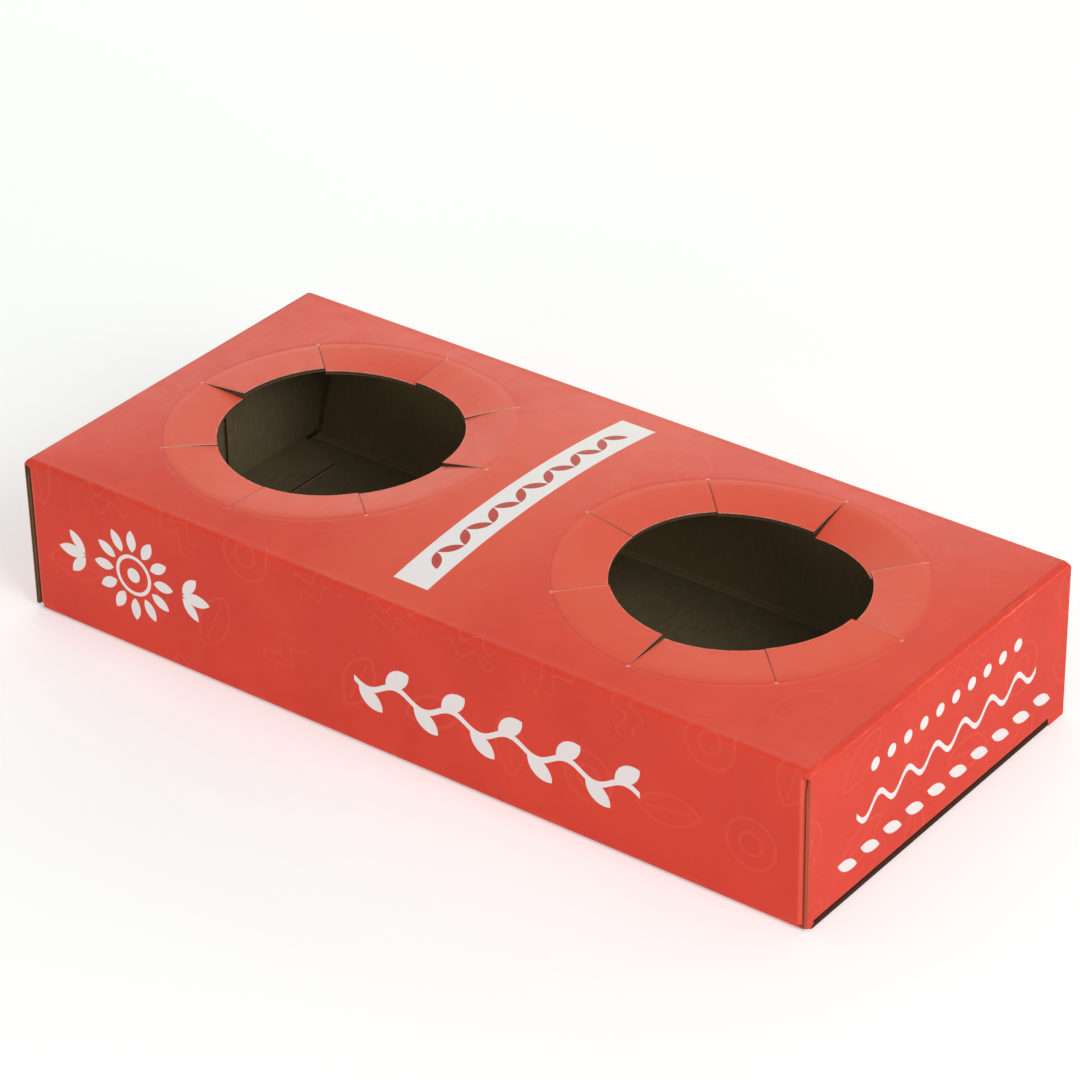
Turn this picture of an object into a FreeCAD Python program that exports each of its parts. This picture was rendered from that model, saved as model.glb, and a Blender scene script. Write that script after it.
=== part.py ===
import FreeCAD, Part
import math
import os
import re

Vector = FreeCAD.Vector

# A carrier for two hot cups: one die-cut sheet of thin corrugated board, folded into a low tray.
# Frame: +X along the tray, +Y to its back, +Z up. The origin is the middle of the underside.
# Each line is a driving size in millimetres, its name, value and meaning.
SIZES = (
    ("length", 280.0, "over the outer faces of the two end panels"),
    ("width", 131.0, "over the outer faces of the front and back panels"),
    ("height", 51.5, "from the table to the straight edges of the top"),
    ("board", 1.2, "thickness of the board"),
    ("bend", 2.0, "outer radius of every fold"),
    ("lap", 0.2, "space between two layers that lie on each other"),
    ("edge_gap", 0.3, "how far a cut edge stays back from the face beside it"),
    ("arch", 5.7, "rise of the top's middle above its edges"),
    ("cup_spacing", 144.4, "between the centres of the two cup holes"),
    ("cup_radius", 37.0, "of a cup hole"),
    ("crease_radius", 53.0, "of the outer side of the pressed ring that hinges the flaps"),
    ("crease_width", 1.2, "of the pressed ring"),
    ("crease_depth", 0.35, "of the pressed ring, from each face of the board"),
    ("flap_root", 0.4, "how far the thin board of the ring reaches into the top"),
    ("slit", 0.4, "width of the cut between two flaps"),
    ("tab_length", 43.0, "of a corner tab, from its fold"),
    ("floor_flap", 19.0, "reach of an end panel's floor flap, from its fold"),
    ("floor_taper", 7.0, "how much narrower each side of a floor flap is at its free edge"),
    ("back_flap", 36.0, "height of the inner back flap, from its fold"),
    ("back_taper", 9.0, "how much narrower each side of the inner back flap is at its free edge"),
    ("foot_length", 8.0, "of the end panel's foot beside the back corner"),
    ("front_relief", 3.0, "from the front face to the floor flap's fold"),
    ("left_turn", 2.3, "how far the slits of the left hole are turned, in degrees"),
    ("right_turn", 0.3, "how far the slits of the right hole are turned, in degrees"),
)

# How far each flap's free edge is pressed down, in millimetres, anticlockwise from +X.
LEFT_PRESS = (3.0, 2.8, 3.9, -0.4, 2.2, 3.6, 2.9, 4.2)
RIGHT_PRESS = (2.5, 5.5, 3.4, 2.3, 3.0, 0.3, 1.3, 0.6)

FLAP_SPANS = 3
ACROSS_X = Vector(1, 0, 0)
ACROSS_Y = Vector(0, 1, 0)
UPWARD = Vector(0, 0, 1)

doc = FreeCAD.newDocument("cup_carrier")


# The sheet of sizes

def fill_sheet():
    """Writes every driving size into the sheet, with its name as the alias."""
    sheet = doc.addObject("Spreadsheet::Sheet", "Sizes")
    for row, (alias, value, meaning) in enumerate(SIZES, start=1):
        sheet.set(f"A{row}", meaning)
        sheet.set(f"B{row}", str(value))
        sheet.setAlias(f"B{row}", alias)
    doc.recompute()
    return sheet


def bound(formula):
    """The formula with each size name read from the sheet."""
    return re.sub(r"[a-z_]+", lambda word: f"Sizes.{word.group()}", formula)


# The flat areas and folds of the board

def panel(name, low, high):
    """A flat area between two opposite corners, whose coordinates are formulas."""
    block = doc.addObject("Part::Box", name)
    for axis, extent, start, end in zip("xyz", ("Length", "Width", "Height"), low, high):
        block.setExpression(f"Placement.Base.{axis}", bound(start))
        block.setExpression(extent, bound(f"({end}) - ({start})"))
    return block


def fold(name, start, run, first, run_length):
    """A quarter turn of the board about the line that leaves `start` along `run`.

    The turn begins on the side that `first` points to and goes on to run x first.
    """
    rounds = []
    for side, radius in (("outside", "bend"), ("inside", "bend - board")):
        cylinder = doc.addObject("Part::Cylinder", f"{name}_{side}")
        cylinder.Angle = 90
        cylinder.Placement.Rotation = FreeCAD.Rotation(first, run.cross(first), run, "ZXY")
        cylinder.setExpression("Radius", bound(radius))
        cylinder.setExpression("Height", bound(run_length))
        for axis, formula in zip("xyz", start):
            cylinder.setExpression(f"Placement.Base.{axis}", bound(formula))
        rounds.append(cylinder)
    turn = doc.addObject("Part::Cut", name)
    turn.Base, turn.Tool = rounds
    return turn


def tapered_flap(name, start, across, outward, half_width, taper, reach):
    """A flap that narrows from its fold at `start` to its free edge, `reach` away."""
    flap = doc.addObject("Part::Wedge", name)
    thick = across.cross(outward)
    flap.Placement.Rotation = FreeCAD.Rotation(across, outward, thick, "ZXY")
    limits = {
        "Xmin": f"-({half_width})", "Xmax": half_width,
        "X2min": f"{taper} - ({half_width})", "X2max": f"({half_width}) - {taper}",
        "Ymin": "0", "Ymax": reach,
        "Zmin": "0", "Zmax": "board", "Z2min": "0", "Z2max": "board",
    }
    for limit, formula in limits.items():
        flap.setExpression(limit, bound(formula))
    for axis, formula in zip("xyz", start):
        flap.setExpression(f"Placement.Base.{axis}", bound(formula))
    return flap


def fused(name, pieces):
    """The areas joined into one piece of board."""
    whole = doc.addObject("Part::MultiFuse", name)
    whole.Shapes = pieces
    return whole


# The front, the bottom and the inner back flap

def front_and_bottom():
    """The run of board that hangs from the top's front edge and closes inside the back."""
    side = "length / 2 - board - lap - bend / 2"
    straight = "length / 2 - board - lap - bend"
    front_axis = "bend - width / 2"
    back_axis = "width / 2 - board - lap - bend"
    flap_half = "length / 2 - 3 * board - 2 * lap - edge_gap"
    inner_face = "width / 2 - board - lap"
    foot_side = "width / 2 - edge_gap - foot_length - edge_gap"
    return [
        fold("top_front_fold", ("bend - length / 2", front_axis, "height - bend"),
             ACROSS_X, UPWARD, "length - 2 * bend"),
        panel("front_panel", (f"-({straight})", "-width / 2", "bend"),
              (straight, "board - width / 2", "height - bend")),
        fold("bottom_front_fold", (f"-({side})", front_axis, "bend"),
             ACROSS_X, -ACROSS_Y, f"2 * ({side})"),
        panel("bottom_panel", ("edge_gap - length / 2", front_axis, "0"),
              ("length / 2 - edge_gap", foot_side, "board")),
        panel("bottom_back_strip", (f"-({side})", front_axis, "0"), (side, back_axis, "board")),
        fold("bottom_back_fold", (f"-({flap_half})", back_axis, "bend"),
             ACROSS_X, -UPWARD, f"2 * ({flap_half})"),
        tapered_flap("inner_back_flap", ("0", inner_face, "bend"), ACROSS_X, UPWARD,
                     flap_half, "back_taper", "back_flap"),
    ]


# The back panel

def back():
    """The board that hangs from the top's back edge, down to its cut edge on the table."""
    straight = "length / 2 - board - lap - bend"
    return [
        fold("top_back_fold", ("bend - length / 2", "width / 2 - bend", "height - bend"),
             ACROSS_X, ACROSS_Y, "length - 2 * bend"),
        panel("back_panel", (f"-({straight})", "width / 2 - board", "0"),
              (straight, "width / 2", "height - bend")),
    ]


# The right end, which the left end mirrors

def end_panel():
    """The end panel on its fold, its back foot, and the floor flap folded in at its lower edge."""
    inner = "length / 2 - board"
    outer = "length / 2"
    sill = "board + lap"
    front_edge = "edge_gap - width / 2"
    back_edge = "width / 2 - edge_gap"
    flap_front = "front_relief - width / 2"
    flap_back = "width / 2 - edge_gap - foot_length"
    flap_half = "(width - edge_gap - foot_length - front_relief) / 2"
    flap_middle = "(front_relief - edge_gap - foot_length) / 2"
    return [
        fold("top_end_fold", ("length / 2 - bend", front_edge, "height - bend"),
             ACROSS_Y, UPWARD, "width - 2 * edge_gap"),
        panel("end_panel", (inner, front_edge, f"{sill} + bend"),
              (outer, back_edge, "height - bend")),
        panel("end_front_corner", (inner, front_edge, sill), (outer, flap_front, f"{sill} + bend")),
        panel("end_back_foot", (inner, flap_back, "0"), (outer, back_edge, f"{sill} + bend")),
        fold("floor_flap_fold", ("length / 2 - bend", flap_front, f"{sill} + bend"),
             ACROSS_Y, ACROSS_X, f"2 * ({flap_half})"),
        tapered_flap("floor_flap", ("length / 2 - bend", flap_middle, sill), ACROSS_Y, -ACROSS_X,
                     flap_half, "floor_taper", "floor_flap"),
    ]


def corner_tabs():
    """The tabs that turn in from the front and back panels, behind the end panel."""
    axis = "length / 2 - board - lap - bend"
    outer = "length / 2 - board - lap"
    inner = "length / 2 - 2 * board - lap"
    tab_foot = "2 * board + 3 * lap"
    tab_head = "height - bend"
    front_axis = "bend - width / 2"
    back_axis = "width / 2 - bend"
    return [
        fold("front_corner_fold", (axis, front_axis, "bend"), UPWARD, -ACROSS_Y,
             "height - 2 * bend"),
        panel("front_tab", (inner, front_axis, tab_foot),
              (outer, f"{front_axis} + tab_length", tab_head)),
        fold("back_corner_fold", (axis, back_axis, "0"), UPWARD, ACROSS_X, "height - bend"),
        panel("back_tab", (inner, f"{back_axis} - tab_length", tab_foot),
              (outer, back_axis, tab_head)),
    ]


def mirrored(source):
    """The same piece at the other end of the tray."""
    twin = doc.addObject("Part::Mirroring", f"{source.Name}_mirrored")
    twin.Source = source
    twin.Normal = ACROSS_X
    return twin


# The arched top with its holes and flaps

class Top:
    """The arched top panel, worked out from the sheet."""

    def __init__(self, sheet):
        self.sheet = sheet
        self.half_x = sheet.length / 2 - sheet.bend
        self.half_y = sheet.width / 2 - sheet.bend

    def level(self, x, y):
        """Height of the top's upper face: flat at all four edges, highest in the middle."""
        along = 1 - (x / self.half_x) ** 4
        across = 1 - (y / self.half_y) ** 2
        return self.sheet.height + self.sheet.arch * along * across

    def arched_board(self):
        """The whole panel without holes, its face a patch of degree four by two.

        The poles of 1 - u^4 are 0, 2, 0, 2, 0 and those of 1 - v^2 are 0, 2, 0.
        """
        patch = Part.BezierSurface()
        patch.increase(4, 2)
        for i, share_x in enumerate((0, 2, 0, 2, 0)):
            for j, share_y in enumerate((0, 2, 0)):
                pole = Vector(self.half_x * (i / 2 - 1), self.half_y * (j - 1),
                              self.sheet.height + self.sheet.arch * share_x * share_y)
                patch.setPole(i + 1, j + 1, pole)
        return patch.toShape().extrude(Vector(0, 0, -self.sheet.board))

    def flap(self, centre_x, first_angle, pitch, press):
        """One flap between two slits, lofted through upright sections around the hole."""
        size = self.sheet
        hinge_radius = size.crease_radius - size.crease_width
        edges = (
            (size.cup_radius, press, 0.0),
            (hinge_radius, 0.0, 0.0),
            (hinge_radius, 0.0, size.crease_depth),
            (size.crease_radius + size.flap_root, 0.0, size.crease_depth),
        )
        sections = []
        for step in range(FLAP_SPANS + 1):
            tops = []
            foots = []
            for radius, drop, pinch in edges:
                slit_angle = math.asin(size.slit / 2 / radius)
                sweep = (pitch - 2 * slit_angle) * step / FLAP_SPANS
                angle = first_angle + slit_angle + sweep
                x = centre_x + radius * math.cos(angle)
                y = radius * math.sin(angle)
                face = self.level(x, y) - drop
                tops.append(Vector(x, y, face - pinch))
                foots.append(Vector(x, y, face - size.board + pinch))
            sections.append(Part.makePolygon([*tops, *reversed(foots), tops[0]]))
        return Part.makeLoft(sections, True, False)

    def flap_ring(self, centre_x, turn, presses):
        """The flaps around one hole."""
        pitch = 2 * math.pi / len(presses)
        start = math.radians(turn)
        return Part.makeCompound([
            self.flap(centre_x, start + index * pitch, pitch, press)
            for index, press in enumerate(presses)
        ])


def top_panel(sheet):
    """The arched panel with a round opening at each crease ring, and the flaps in them."""
    top = Top(sheet)
    arched = doc.addObject("Part::Feature", "arched_board")
    arched.Shape = top.arched_board()
    openings = []
    for side, centre in (("left", "-cup_spacing / 2"), ("right", "cup_spacing / 2")):
        opening = doc.addObject("Part::Cylinder", f"{side}_opening")
        opening.setExpression("Radius", bound("crease_radius"))
        opening.setExpression("Height", bound("2 * board + arch"))
        opening.setExpression("Placement.Base.x", bound(centre))
        opening.setExpression("Placement.Base.z", bound("height - 2 * board"))
        openings.append(opening)
    opened = doc.addObject("Part::Cut", "opened_board")
    opened.Base = arched
    opened.Tool = fused("both_openings", openings)
    pieces = [opened]
    rings = (
        ("left_flaps", -sheet.cup_spacing / 2, sheet.left_turn, LEFT_PRESS),
        ("right_flaps", sheet.cup_spacing / 2, sheet.right_turn, RIGHT_PRESS),
    )
    for name, centre_x, turn, presses in rings:
        ring = doc.addObject("Part::Feature", name)
        ring.Shape = top.flap_ring(centre_x, turn, presses)
        pieces.append(ring)
    return pieces


# The whole sheet, checked and written

def check(sound_piece):
    """Stops if any step failed, or if the carrier is not one sound solid."""
    failed = [item.Name for item in doc.Objects if {"Invalid", "Error"} & set(item.State)]
    if failed:
        raise RuntimeError(f"steps that failed: {failed}")
    shape = sound_piece.Shape
    if shape.isNull() or not shape.isValid() or len(shape.Solids) != 1:
        raise RuntimeError(f"{sound_piece.Label} is not one valid solid")


def main():
    """Builds the carrier and writes it to the folder of parts."""
    sheet = fill_sheet()
    right_end = fused("right_end", end_panel() + corner_tabs())
    areas = front_and_bottom() + back() + [right_end, mirrored(right_end)] + top_panel(sheet)
    carrier = fused("cup_carrier", areas)
    carrier.Refine = True
    carrier.Label = "cup_carrier"
    doc.recompute()
    check(carrier)
    os.makedirs("parts", exist_ok=True)
    carrier.Shape.exportStep(f"parts/{carrier.Label}.step")
    box = carrier.Shape.BoundBox
    print(f"{carrier.Label}: {box.XLength:.1f} x {box.YLength:.1f} x {box.ZLength:.1f} mm,"
          f" {carrier.Shape.Volume / 1000:.1f} cm3, {len(carrier.Shape.Faces)} faces")


main()
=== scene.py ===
"""Dresses the cardboard cup carrier: one printed sheet of fine corrugated board, folded into a low tray.

The board is built as an open skin in millimetres, which also keeps where each point lies on the flat
sheet. The skin then gets the board's thickness, and its prints are drawn by their place on that sheet.
"""

import logging
import math
from dataclasses import dataclass, field, replace
from enum import IntEnum
from functools import cached_property, reduce
from typing import Any, Callable, Iterable, Mapping

import bmesh
import bpy
from bmesh.types import BMEdge, BMFace, BMVert
from mathutils import Matrix, Vector, noise


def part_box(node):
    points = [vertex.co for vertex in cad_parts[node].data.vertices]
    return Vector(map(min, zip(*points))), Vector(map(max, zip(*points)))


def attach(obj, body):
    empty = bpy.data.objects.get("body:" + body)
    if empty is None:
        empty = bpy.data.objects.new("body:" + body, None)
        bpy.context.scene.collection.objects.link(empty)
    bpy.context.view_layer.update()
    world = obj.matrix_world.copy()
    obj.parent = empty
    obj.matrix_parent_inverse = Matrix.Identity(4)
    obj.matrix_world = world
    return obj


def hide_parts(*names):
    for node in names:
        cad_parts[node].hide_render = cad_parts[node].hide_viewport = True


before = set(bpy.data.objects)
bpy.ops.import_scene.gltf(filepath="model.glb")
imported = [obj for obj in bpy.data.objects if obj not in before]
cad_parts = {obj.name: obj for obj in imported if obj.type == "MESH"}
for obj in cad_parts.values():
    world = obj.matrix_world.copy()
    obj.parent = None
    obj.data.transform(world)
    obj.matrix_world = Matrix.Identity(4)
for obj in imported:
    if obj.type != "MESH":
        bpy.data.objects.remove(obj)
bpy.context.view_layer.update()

log = logging.getLogger("cup_carrier")

NODE = "cup_carrier"
PIECE = "folded_board"
BODY = "root"
MM = 0.001
FLAT = "flat"
DEPTH = "depth"
X, Y, Z = 0, 1, 2
AXIS_NAMES = "XYZ"
RIGHT, BACK, UP = Vector((1, 0, 0)), Vector((0, 1, 0)), Vector((0, 0, 1))
CORNERS = ((-1, -1), (-1, 1), (1, -1), (1, 1))
CLOSE = 1e-3
FLUTE_PITCH = 3.2
Colour = tuple[float, float, float, float]
Pair = tuple[float, float]
Line = tuple[float, float, float]


def ink(red: int, green: int, blue: int) -> Colour:
    """Turns a colour as it looks, 0 to 255, into the linear colour that a shader takes."""
    shares = (channel / 255 for channel in (red, green, blue))
    linear = [s / 12.92 if s <= 0.04045 else ((s + 0.055) / 1.055) ** 2.4 for s in shares]
    return (*linear, 1.0)


class Side(IntEnum):
    """The board's surfaces, in the order of its material slots."""

    TOP = 0
    FRONT = 1
    RIGHT_END = 2
    PLAIN = 3
    INSIDE = 4
    CUT_EDGE = 5


class Blank:
    """The open skin of the board, in millimetres, with each point's place on the flat sheet."""

    def __init__(self) -> None:
        """Starts an empty skin."""
        self.bm = bmesh.new()
        self.flat = self.bm.verts.layers.float_vector.new(FLAT)

    def border(self, axis: int, value: float) -> list[BMEdge]:
        """Finds the free edges that lie at one value along X, Y or Z."""
        return [
            edge for edge in self.bm.edges
            if edge.is_boundary and all(abs(vert.co[axis] - value) < CLOSE for vert in edge.verts)
        ]

    def grow(self, edges: Iterable[BMEdge], side: Side) -> list[BMEdge]:
        """Extrudes one row of faces.

        Args:
            edges: the row's old edges.
            side: the surface that the new faces belong to.

        Returns:
            The row's new edges, which lie on the old ones until they are moved.
        """
        made = bmesh.ops.extrude_edge_only(self.bm, edges=list(edges))["geom"]
        for part in made:
            if isinstance(part, BMFace):
                part.material_index = side
        return [part for part in made if isinstance(part, BMEdge)]


def ends_of(edges: Iterable[BMEdge]) -> list[BMVert]:
    """Lists the vertices of some edges, each once."""
    return list(dict.fromkeys(vert for edge in edges for vert in edge.verts))


@dataclass
class Strip:
    """A run of panels folded one after another from one border of the blank.

    Its folds all run along one axis, and away is the direction in which it grows on the flat sheet.
    """

    blank: Blank
    edges: list[BMEdge]
    axis: int
    away: Vector
    side: Side
    fold_steps: int = 6

    def span(self) -> Pair:
        """Gives the lowest and highest place of the strip's free row along its axis."""
        places = [vert.co[self.axis] for vert in ends_of(self.edges)]
        return min(places), max(places)

    def _rows(self, count: int, span: Pair | None, move: Callable[[list[BMVert]], float]) -> None:
        """Adds rows of faces, and widens or narrows them step by step.

        Args:
            count: how many rows.
            span: where the last row starts and ends along the axis, if that changes.
            move: moves a new row, and returns how far that is on the flat sheet.
        """
        flat = self.blank.flat
        for row in range(count):
            low, high = self.span()
            first, last = span or (low, high)
            first, last = low + (first - low) / (count - row), high + (last - high) / (count - row)
            self.edges = self.blank.grow(self.edges, self.side)
            verts = ends_of(self.edges)
            step = move(verts)
            low, high = self.span()
            for vert in verts:
                share = (vert.co[self.axis] - low) / (high - low)
                vert.co[self.axis] = first + share * (last - first)
                vert[flat] = vert[flat] + self.away * step
                if self.axis != Z:
                    vert[flat][self.axis] = vert.co[self.axis]

    def panel(self, way: Vector, rows: int = 1, span: Pair | None = None) -> None:
        """Adds a flat panel.

        Args:
            way: the way from the panel's near row to its far row.
            rows: how many rows of faces it has.
            span: where its far row starts and ends along the axis, if that changes.
        """
        step = way / rows

        def shift(verts: list[BMVert]) -> float:
            """Moves a row by one step."""
            bmesh.ops.translate(self.blank.bm, vec=step, verts=verts)
            return step.length

        self._rows(rows, span, shift)

    def fold(self, centre: Vector, degrees: float, span: Pair | None = None) -> None:
        """Adds a rounded fold.

        Args:
            centre: a point on the line that the row turns about.
            degrees: how far it turns.
            span: where its last row starts and ends along the axis, if that changes.
        """
        step = math.radians(degrees / self.fold_steps)
        turn = Matrix.Rotation(step, 3, AXIS_NAMES[self.axis])

        def swing(verts: list[BMVert]) -> float:
            """Turns a row by one step."""
            arm = verts[0].co - centre
            arm[self.axis] = 0.0
            bmesh.ops.rotate(self.blank.bm, cent=centre, matrix=turn, verts=verts)
            return arm.length * abs(step)

        self._rows(self.fold_steps, span, swing)

    def part(self, low: float, high: float) -> "Strip":
        """Starts a strip from the stretch of this one's free row between two places on its axis."""
        kept = [
            edge for edge in self.edges
            if all(low - CLOSE <= vert.co[self.axis] <= high + CLOSE for vert in edge.verts)
        ]
        return replace(self, edges=kept)


@dataclass
class CupHole:
    """One cup hole, with its eight flaps and the half of the top panel around it.

    Presses gives how far each flap's rim hangs below the arched top, at the flap's first and last
    slit, going round anticlockwise from +X. Gapes gives how wide the slit before each flap stands open.
    """

    centre: float
    turn: float
    presses: tuple[Pair, ...]
    gapes: tuple[float, ...]
    radius: float = 37.0
    hinge: float = 53.0
    groove_width: float = 1.2
    groove_depth: float = 0.14
    root_gap: float = 0.1
    flap_points: int = 24
    flap_rows: int = 6
    bend: float = 1.2
    inner_points: int = 44
    side_points: int = 50
    outer_shares: tuple[float, ...] = (0.04, 0.1, 0.2, 0.36, 0.56, 0.78, 1.0)
    slit_share: float = 0.01
    verts: list[BMVert] = field(default_factory=list)

    @property
    def points(self) -> int:
        """Counts the points of one ring."""
        return self.flap_points * len(self.presses)

    def outline(self, half_length: float, half_width: float) -> list[Vector]:
        """Finds where each ring point is drawn out to on the outline of this half of the top panel.

        Args:
            half_length: half the length of the top panel.
            half_width: half its width.

        Returns:
            The places in plan, in the order of the ring points.
        """
        near = (self.points - self.inner_points) // 2 - self.side_points
        upper = [(near, half_length), (near + self.side_points, 0.0)]
        if self.centre < 0:
            upper = [(self.points // 2 - number, -x) for number, x in reversed(upper)]
        corners = [(number, Vector((x, half_width))) for number, x in upper]
        corners += [(self.points - number, Vector((x, -half_width))) for number, x in reversed(upper)]
        corners.append((corners[0][0] + self.points, corners[0][1]))
        places = {}
        for (low, start), (high, finish) in zip(corners, corners[1:]):
            for number in range(low, high):
                places[number % self.points] = start.lerp(finish, (number - low) / (high - low))
        return [places[number] for number in range(self.points)]

    def rings(self, outline: list[Vector]) -> list[list[Vector]]:
        """Places the rings of points outside the rim: over the flaps, the groove and the panel.

        Args:
            outline: the places of the outermost ring.

        Returns:
            The places in plan of each ring's points.
        """
        angles = (math.radians(self.turn) + 2 * math.pi * n / self.points for n in range(self.points))
        rays = [Vector((math.cos(angle), math.sin(angle))) for angle in angles]
        inner = self.hinge - self.groove_width / 2
        step = (inner - self.radius) / self.flap_rows
        radii = [self.radius + step * (row + 1) for row in range(self.flap_rows)]
        radii += [self.hinge, self.hinge + self.groove_width / 2]
        middle = Vector((self.centre, 0.0))
        rings = [[middle + ray * radius for ray in rays] for radius in radii]
        last = rings[-1]
        return rings + [[a.lerp(b, share) for a, b in zip(last, outline)] for share in self.outer_shares]

    def number_of(self, vert: BMVert) -> int:
        """Finds the number of the ring point that a vertex of the rim is."""
        angle = math.atan2(vert.co.y, vert.co.x - self.centre) - math.radians(self.turn)
        return round(angle / (2 * math.pi) * self.points) % self.points

    def build(self, blank: Blank, half_length: float, half_width: float) -> None:
        """Draws this half of the top panel flat, with its slits cut.

        Args:
            blank: the skin that it is added to.
            half_length: half the length of the top panel.
            half_width: half its width.
        """
        place = Matrix.Translation(RIGHT * self.centre) @ Matrix.Rotation(math.radians(self.turn), 4, "Z")
        made = bmesh.ops.create_circle(blank.bm, segments=self.points, radius=self.radius, matrix=place)
        rings = [sorted(made["verts"], key=self.number_of)]
        edges = {edge for vert in rings[0] for edge in vert.link_edges}
        for places in self.rings(self.outline(half_length, half_width)):
            numbers = {(round(v.co.x, 4), round(v.co.y, 4)): n for n, v in enumerate(rings[-1])}
            edges = blank.grow(edges, Side.TOP)
            row = sorted(ends_of(edges), key=lambda v: numbers[(round(v.co.x, 4), round(v.co.y, 4))])
            for vert, place in zip(row, places):
                vert.co = (place.x, place.y, 0.0)
            rings.append(row)
        slits = [
            blank.bm.edges.get((inner[number], outer[number]))
            for inner, outer in zip(rings, rings[1:self.flap_rows + 2])
            for number in range(0, self.points, self.flap_points)
        ]
        own = [vert for ring in rings for vert in ring]
        own += ends_of(bmesh.ops.split_edges(blank.bm, edges=slits)["edges"])
        self.verts = list(dict.fromkeys(vert for vert in own if vert.is_valid))

    def flap_of(self, vert: BMVert) -> int:
        """Finds the flap that a vertex belongs to, from the faces that it carries."""
        away = sum((face.calc_center_median() for face in vert.link_faces), Vector()) / len(vert.link_faces)
        angle = math.degrees(math.atan2(away.y, away.x - self.centre)) - self.turn
        return int((angle % 360) / (360 / len(self.presses)))

    def lay(self, level: Callable[[float, float], float]) -> None:
        """Gives the flat half its height: the arch, the pressed groove and the hanging flaps.

        Args:
            level: gives the arched top's height at a place in plan.
        """
        sector = 360 / len(self.presses)
        places = {}
        for vert in self.verts:
            away = Vector((vert.co.x - self.centre, vert.co.y, 0.0))
            place = Vector((vert.co.x, vert.co.y, level(vert.co.x, vert.co.y)))
            places[vert] = place
            if away.length > self.hinge + CLOSE:
                continue
            if away.length > self.hinge - CLOSE:
                place.z -= self.groove_depth
                continue
            flap = self.flap_of(vert)
            angle = (math.degrees(math.atan2(away.y, away.x)) - self.turn - flap * sector + 90) % 360 - 90
            share = min(max(angle / sector, 0.0), 1.0)
            reach = (self.hinge - away.length) / (self.hinge - self.radius)
            start, finish = self.presses[flap]
            place.z -= (start + (finish - start) * share) * reach ** self.bend
            for slit, way, off in ((flap, 1, share), (flap + 1, -1, 1 - share)):
                if off < self.slit_share:
                    gape = self.gapes[slit % len(self.gapes)]
                    open_by = (self.root_gap + (gape - self.root_gap) * reach) / 2
                    place += UP.cross(away).normalized() * way * open_by
        for vert, place in places.items():
            vert.co = place


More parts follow.
